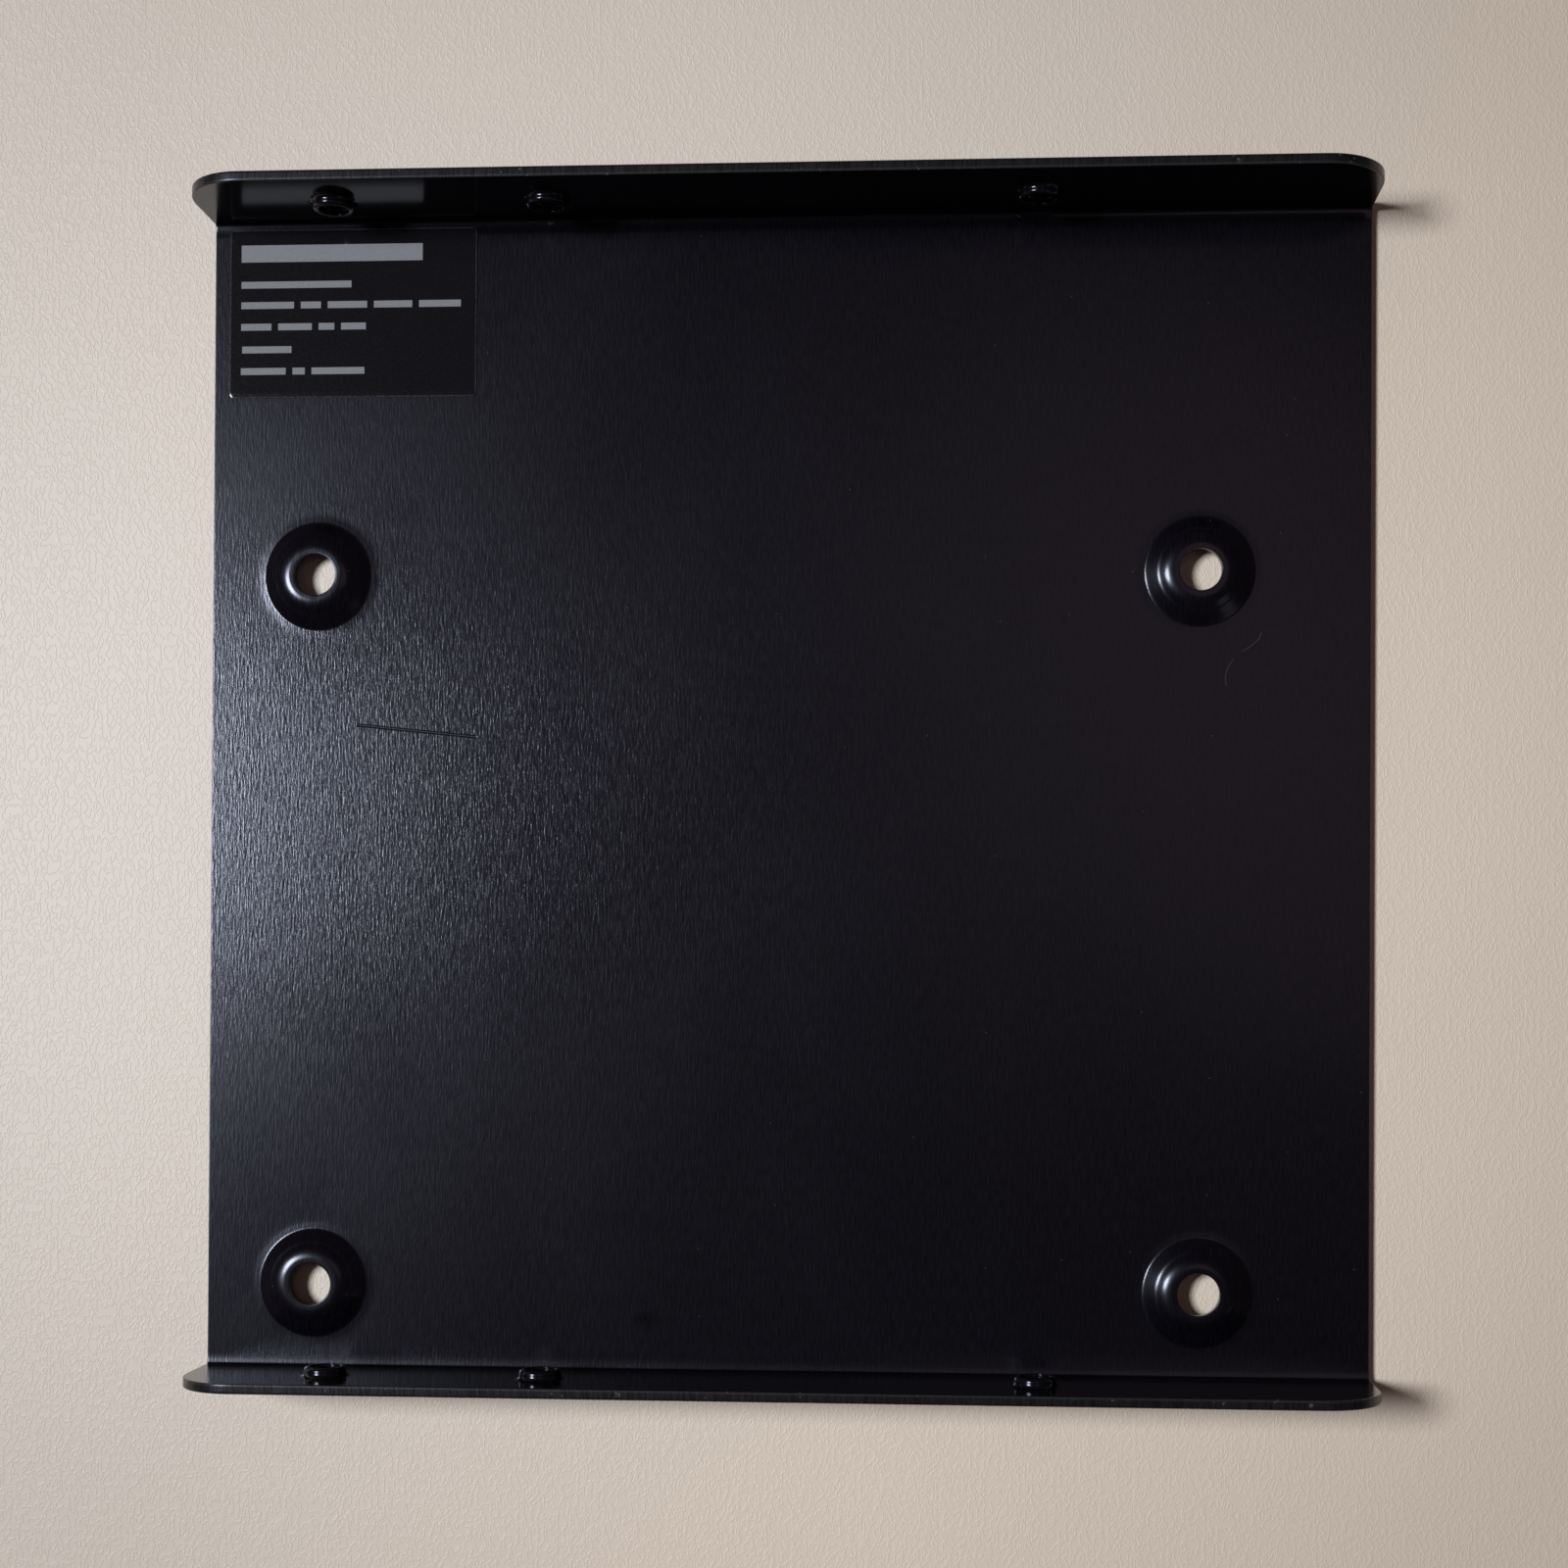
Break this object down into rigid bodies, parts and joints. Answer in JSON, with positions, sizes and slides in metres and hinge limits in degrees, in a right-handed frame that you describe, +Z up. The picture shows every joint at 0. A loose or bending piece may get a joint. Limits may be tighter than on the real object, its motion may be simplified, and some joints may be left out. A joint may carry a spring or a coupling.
{
  "type": "ssd mounting bracket",
  "caption": "Black folded sheet-metal channel: a small drive screws onto raised bosses in its plate, and its side flanges screw into a full-size drive bay by tapped collars.",
  "frame": {"origin": "under the middle of the plate, on its underside, at the middle of the overall box", "axes": "+X along the folds, +Y across them towards the flange beside the label, +Z up, the way the flanges stand"},
  "size_m": [0.1006, 0.1016, 0.0115],
  "materials": {
    "black_painted_sheet": "satin black coat over finely grained sheet, glossier inside the flanges",
    "label_film": "semi-gloss black film with plain pale bars"
  },
  "bodies": {
    "root": {"folded_bracket": "black_painted_sheet", "label_film": "label_film"}
  },
  "joints": []
}
